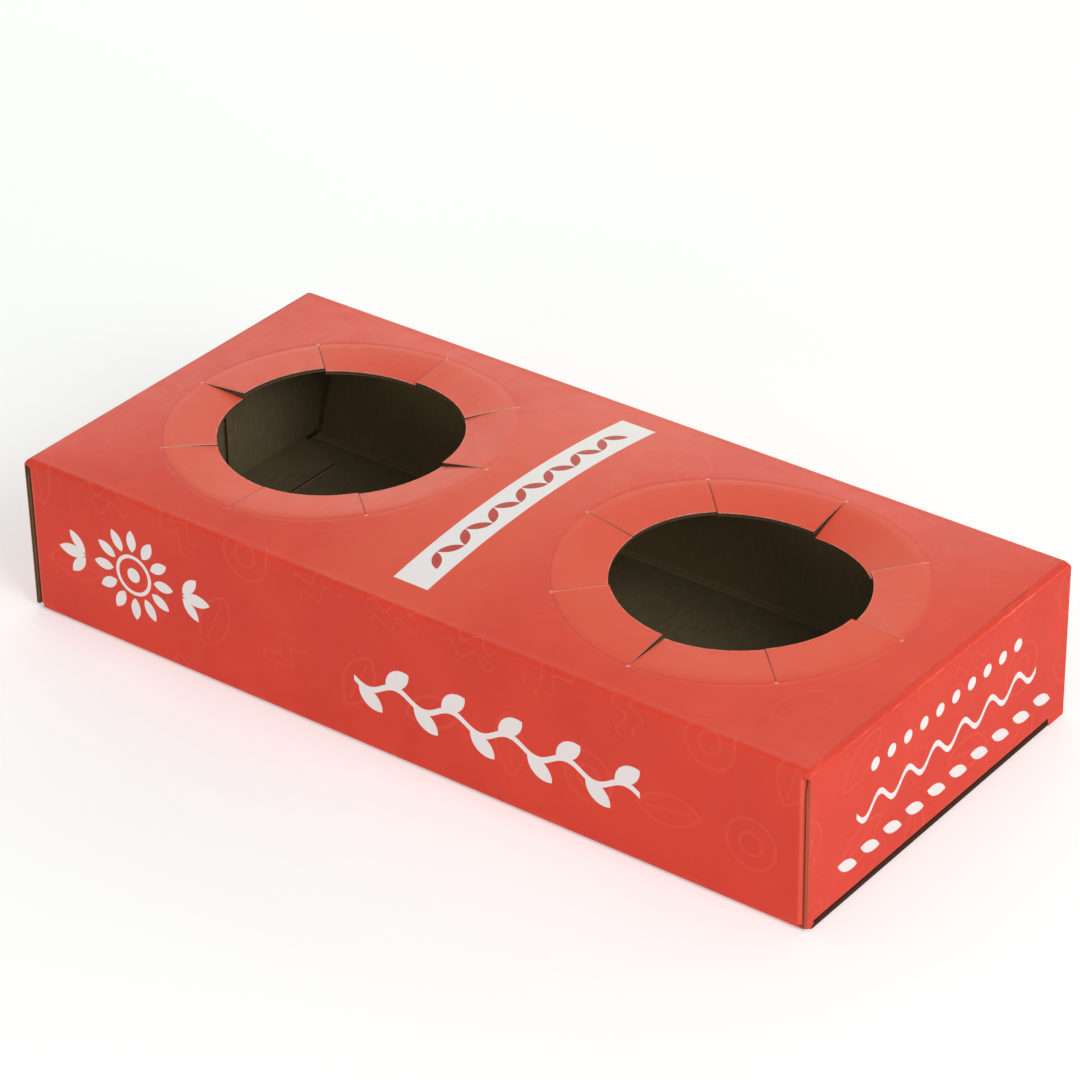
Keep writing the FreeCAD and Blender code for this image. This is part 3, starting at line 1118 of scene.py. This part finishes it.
@dataclass(frozen=True)
class FrontPrint(RedPrint):
    """The front's print: a white vine in the middle and a white rosette near the left corner.

    Each leaf of the rosette's sprigs has its place, its tilt and its size.
    """

    vine_centre: Pair = (35.0, 22.4)
    vine_half: float = 50.0
    vine_line: float = 2.0
    vine_swing: float = 2.0
    leaf_pitch: float = 10.0
    leaf_place: Pair = (0.8, 5.0)
    leaf_tilt: float = 36.0
    leaf_size: Pair = (10.5, 5.6)
    rosette_centre: Pair = (-98.5, 26.0)
    petals: int = 12
    petal_reach: float = 11.6
    petal_size: Pair = (7.4, 3.6)
    dot_radius: float = 2.4
    ring_radius: float = 6.2
    ring_line: float = 1.2
    sprig_reach: float = 18.0
    sprig: tuple[tuple[Pair, float, Pair], ...] = (
        ((6.2, 0.0), 0.0, (10.5, 4.2)), ((3.9, 3.9), 48.0, (8.4, 3.6)),
    )

    def from_centre(self, centre: Pair) -> Spot:
        """Measures from a place on the front panel, given as its x and its height."""
        board = self.board
        return self.spot.moved(centre[0], centre[1] - board.fold_z - board.top_y - board.arc)

    def vine(self, local: Spot) -> Value:
        """Draws a waving stem with a leaf on the outer side of each bend.

        Args:
            local: the place, measured from the vine's middle.

        Returns:
            The distance outside it.
        """
        stem = abs(local.v - local.u.wave(2 * self.leaf_pitch) * self.vine_swing) - self.vine_line / 2
        number, along = local.u.cell(self.leaf_pitch)
        bud = Spot(along, local.v * number.alternating()).moved(*self.leaf_place)
        leaf = bud.turned(self.leaf_tilt).leaf(*self.leaf_size)
        return stem.least(leaf).clipped(local.u, self.vine_half)

    def rosette(self, local: Spot) -> Value:
        """Draws a ring of petals about a ringed dot, with a sprig of three leaves on each side.

        Args:
            local: the place, measured from the rosette's middle.

        Returns:
            The distance outside it.
        """
        _, across = local.spokes(self.petals)
        petal = Spot(local.reach() - self.petal_reach, across).leaf(*self.petal_size)
        shape = petal.least(local.ring(self.ring_radius, self.ring_line)).least(local.disc(self.dot_radius))
        beside = Spot(abs(local.u) - self.sprig_reach, abs(local.v))
        for place, tilt, size in self.sprig:
            shape = shape.least(beside.moved(*place).turned(tilt).leaf(*size))
        return shape

    def marks(self) -> list[tuple[Value, Colour]]:
        """Draws the vine and the rosette in white.

        Returns:
            The white print, as a share and a colour.
        """
        vine = self.vine(self.from_centre(self.vine_centre))
        rosette = self.rosette(self.from_centre(self.rosette_centre))
        return [(vine.least(rosette).drawn(), self.white)]


@dataclass(frozen=True)
class EndPrint(RedPrint):
    """The right end's print: a row of dots, a waving line and a row of small leaves, in white."""

    dot_row: float = 37.5
    dot_middle: float = 2.0
    dot_radius: float = 2.0
    dot_pitch: float = 8.0
    wave_row: float = 24.5
    wave_half: float = 45.5
    wave_swing: float = 2.6
    wave_length: float = 14.0
    wave_line: float = 2.0
    leaf_row: float = 11.5
    leaf_middle: float = 3.0
    leaf_pitch: float = 11.0
    leaf_tilt: float = 24.0
    leaf_size: Pair = (10.2, 3.7)

    def row(self, z: float) -> Value:
        """Measures from a height on the end panel, downwards."""
        board = self.board
        return self.spot.u - (board.top_x + board.arc + board.fold_z - z)

    def marks(self) -> list[tuple[Value, Colour]]:
        """Draws the three rows in white.

        Returns:
            The white print, as a share and a colour.
        """
        v = self.spot.v
        by_dots, by_leaves = v - self.dot_middle, v - self.leaf_middle
        _, dot_v = by_dots.cell(self.dot_pitch)
        dots = Spot(self.row(self.dot_row), dot_v).disc(self.dot_radius)
        dots = dots.clipped(by_dots, 5 * self.dot_pitch)
        wave = self.row(self.wave_row) - v.wave(self.wave_length) * self.wave_swing
        wave = (abs(wave) - self.wave_line / 2).clipped(by_leaves, self.wave_half)
        _, leaf_v = by_leaves.cell(self.leaf_pitch)
        leaves = Spot(leaf_v, self.row(self.leaf_row)).turned(self.leaf_tilt).leaf(*self.leaf_size)
        leaves = leaves.clipped(by_leaves, 5 * self.leaf_pitch)
        return [(dots.least(wave).least(leaves).drawn(), self.white)]


@dataclass(frozen=True)
class KraftInside(Finish):
    """The board's bare inner side: brown kraft paper, with fibres and faint flute lines."""

    light: Colour = ink(130, 116, 86)
    dark: Colour = ink(112, 99, 71)
    # Lighter kraft, laid on as painted light on the back flap and a painted highlight on its crease.
    pale: Colour = ink(176, 152, 108)
    # Dark brown laid on as painted shade along the bottom panel's border under the end folds.
    painted_shade: Colour = ink(60, 28, 18)
    painted_shade_share: float = 0.85
    roughness: float = 0.85
    shine: float = 0.25
    relief: Pair = (0.08, 0.7)

    def material(self) -> bpy.types.Material:
        """Makes the material, with painted light on the back flap, a painted highlight on its crease and
        painted shade on the border under the ends.
        """
        board, toward_front = self.board, -self.spot.v
        crease = 3 * board.top_y + board.height - board.board - board.lap + 1.0
        # Painted light: the back flap inside the back panel is made paler than the floor.
        back = toward_front.ramp(crease - 2, crease + 2) * 0.3
        # Painted highlight along the crease at the foot of the back flap.
        line = toward_front.line(crease, 0.4, 0.4) * 0.7
        # Painted shade on the bottom panel's inner side where it runs under the end panels' folds.
        border = abs(self.spot.u).beyond(board.top_x - board.board)
        border = border * toward_front.beyond(board.top_y + board.height)
        fibre = self.shader.grain(1.4, 4.0, 4.0)
        colour = self.shader.paint(
            self.dark,
            ((fibre * 0.6 + self.shader.grain(24.0, 3.0) * 0.5).ramp(0.3, 0.8), self.light),
            (back.most(line), self.pale),
            (border * self.painted_shade_share, self.painted_shade),
        )
        height = fibre * 0.6 + self.spot.u.wave(FLUTE_PITCH) * 0.5
        return self.finished(colour, self.roughness, height)


@dataclass(frozen=True)
class CutEdge(Finish):
    """The board's cut edge: a pale printed liner, then waving flutes with painted shade in their open
    channels, and a brown inner liner.
    """

    liner: Colour = ink(196, 158, 132)
    flute: Colour = ink(112, 84, 64)
    # Painted shade in the open flute channels between the papers.
    gap: Colour = ink(62, 40, 28)
    crushed: Colour = ink(206, 98, 70)
    # Dark brown laid on as painted shade on the bottom panel's cut edges under the tray.
    painted_shade: Colour = ink(60, 28, 18)
    crushed_and_shade_share: float = 0.85
    liner_share: float = 0.22
    foot_half: float = 3.0
    roughness: float = 0.9
    shine: float = 0.2
    relief: Pair = (0.15, 0.8)

    def material(self) -> bpy.types.Material:
        """Makes the material, crushed red at the front corners and painted shade under the tray."""
        board, spot = self.board, self.spot
        depth = Value(self.shader, self.shader.attribute(DEPTH, "Fac"))
        rough_cut = (self.shader.grain(0.8) - 0.5) * 0.16
        paper = depth.line((spot.u + spot.v).wave(FLUTE_PITCH) * 0.3 + 0.5, 0.1, 0.08)
        outer_liner = (depth - self.liner_share + rough_cut).drawn(0.05)
        inner_liner = (1 - self.liner_share - depth + rough_cut).drawn(0.05)
        foot = board.top_y + board.height
        corner = spot.u.beyond(board.top_x + board.bend) * (-spot.v).beyond(board.top_y)
        corner = corner.most((-spot.v).line(foot, self.foot_half, 0.12))
        colour = self.shader.paint(
            self.gap,
            (paper.most(inner_liner), self.flute),
            (outer_liner, self.liner),
            (corner * self.crushed_and_shade_share, self.crushed),
            # Painted shade: the bottom panel's cut edges under the tray.
            ((-spot.v).beyond(foot + self.foot_half) * self.crushed_and_shade_share, self.painted_shade),
        )
        height = outer_liner + paper * 0.6 + self.shader.grain(0.5) * 0.4
        return self.finished(colour, self.roughness, height)


def dress(piece: bpy.types.Object, board: FoldedBoard) -> None:
    """Puts the six finishes on the board.

    Args:
        piece: the folded board.
        board: its sizes.
    """
    finishes = {
        Side.TOP: TopPrint("top_print", board),
        Side.FRONT: FrontPrint("front_print", board),
        Side.RIGHT_END: EndPrint("right_end_print", board),
        Side.PLAIN: RedPrint("plain_print", board),
        Side.INSIDE: KraftInside("kraft_inside", board),
        Side.CUT_EDGE: CutEdge("cut_edge", board),
    }
    for side in Side:
        piece.data.materials[side] = finishes[side].material()


def direction(azimuth: float, elevation: float) -> Vector:
    """Gives the direction from the tray to a viewer at an azimuth and an elevation, in degrees."""
    a, e = math.radians(azimuth), math.radians(elevation)
    return Vector((math.sin(a) * math.cos(e), -math.cos(a) * math.cos(e), math.sin(e)))


@dataclass
class Lamp:
    """A soft lamp, wide by high, that looks at the middle of the tray from a direction and a distance."""

    name: str
    azimuth: float
    elevation: float
    distance: float
    size: Pair
    power: float
    colour: tuple[float, float, float] = (1.0, 1.0, 1.0)

    def build(self) -> None:
        """Adds the lamp to the scene."""
        away = direction(self.azimuth, self.elevation)
        data = bpy.data.lights.new(self.name, "AREA")
        data.shape = "RECTANGLE"
        data.size, data.size_y = self.size
        data.energy = self.power
        data.color = self.colour
        lamp = placed(self.name, data)
        lamp.location = away * self.distance
        lamp.rotation_mode = "QUATERNION"
        lamp.rotation_quaternion = away.to_track_quat("Z", "Y")


@dataclass
class Studio:
    """The pale floor, the soft light and the camera at the photograph's angle."""

    azimuth: float = 37.881
    elevation: float = 31.317
    roll: float = -1.136
    distance: float = 1.23235
    shift_right: float = -0.00061
    shift_up: float = -0.03486
    lens: float = 139.56
    clip: Pair = (0.05, 50.0)
    floor_half: float = 6.0
    floor_gap: float = 0.05
    floor_colour: Colour = ink(246, 242, 241)
    floor_roughness: float = 0.9
    floor_shine: float = 0.1
    floor_glow: float = 0.29
    glow_colour: Colour = (0.84, 1.0, 1.0, 1.0)
    dark: Colour = (0.0, 0.0, 0.0, 1.0)
    surround: Colour = (1.0, 1.0, 1.0, 1.0)
    ambient: float = 0.46
    lamps: tuple[Lamp, ...] = (
        Lamp("key", 75.0, 35.0, 1.6, (0.9, 0.9), 12.3),
        Lamp("back_sheen", 215.0, 17.0, 1.7, (2.0, 0.7), 11.3, (0.94, 0.94, 0.8)),
        Lamp("front_fill", 4.0, 12.0, 1.8, (1.0, 0.6), 4.4),
    )

    def build_floor(self) -> None:
        """Makes the pale floor, which shows as near white to the camera and keeps the tray's shadow."""
        bm = bmesh.new()
        bmesh.ops.create_grid(bm, x_segments=2, y_segments=2, size=self.floor_half)
        mesh = bpy.data.meshes.new("floor")
        bm.to_mesh(mesh)
        bm.free()
        floor = placed("floor", mesh)
        floor.location.z = -self.floor_gap * MM
        shader = Shader(bpy.data.materials.new("pale_floor"))
        glow = shader.paint(self.dark, (shader.seen() * self.floor_glow, self.glow_colour))
        emission = {"Emission Color": glow, "Emission Strength": 1.0}
        finish = shader.finish(self.floor_colour, self.floor_roughness, self.floor_shine, emission)
        mesh.materials.append(finish)

    def build_world(self) -> None:
        """Makes the white surroundings: plain light on the tray, and white where they are seen."""
        world = bpy.data.worlds.new("white_surroundings")
        shader = Shader(world)
        sockets = {"Value": shader.seen(), "To Min": self.ambient, "To Max": 1.0}
        strength = shader.node("ShaderNodeMapRange", sockets).outputs["Result"]
        light = shader.node("ShaderNodeBackground", {"Color": self.surround, "Strength": strength})
        shader.node("ShaderNodeOutputWorld", {"Surface": light.outputs[0]})
        bpy.context.scene.world = world

    def build_camera(self) -> None:
        """Makes the camera and gives it to the scene."""
        back = direction(self.azimuth, self.elevation)
        level = direction(self.azimuth + 90.0, 0.0)
        turn = Matrix.Rotation(math.radians(self.roll), 3, back)
        right, up = turn @ level, turn @ back.cross(level)
        data = bpy.data.cameras.new("camera")
        data.lens = self.lens
        data.clip_start, data.clip_end = self.clip
        camera = placed("camera", data)
        place = back * self.distance - right * self.shift_right - up * self.shift_up
        camera.matrix_world = Matrix.Translation(place) @ Matrix((right, up, back)).transposed().to_4x4()
        bpy.context.scene.camera = camera

    def build(self) -> None:
        """Builds the whole studio."""
        bpy.context.scene.view_settings.view_transform = "Standard"
        self.build_floor()
        self.build_world()
        for lamp in self.lamps:
            lamp.build()
        self.build_camera()


def main() -> None:
    logging.basicConfig(level=logging.INFO, format="%(name)s: %(message)s")
    low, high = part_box(NODE)
    left = CupHole(
        centre=-72.2, turn=2.3, gapes=(0.5, 0.3, 0.5, 0.35, 0.8, 0.25, 0.22, 0.22), presses=(
            (3.0, 3.3), (2.8, 2.4), (3.6, 1.6), (0.5, 0.5), (2.2, 2.2), (2.6, 3.0), (2.9, 2.9), (3.3, 4.2),
        ),
    )
    right = CupHole(
        centre=72.2, turn=0.3, gapes=(0.2, 0.3, 0.6, 0.3, 0.2, 0.2, 0.8, 0.16), presses=(
            (2.5, 2.5), (5.0, 6.0), (4.2, 2.8), (2.3, 2.3), (2.5, 2.9), (0.3, 0.3), (1.3, 1.0), (0.8, 0.6),
        ),
    )
    board = FoldedBoard(*((high - low) / MM), holes=(left, right))
    piece = board.build()
    dress(piece, board)
    log.info("%s: %d faces, %d finishes", piece.name, len(piece.data.polygons), len(piece.data.materials))
    Studio().build()


if __name__ == "__main__":
    main()
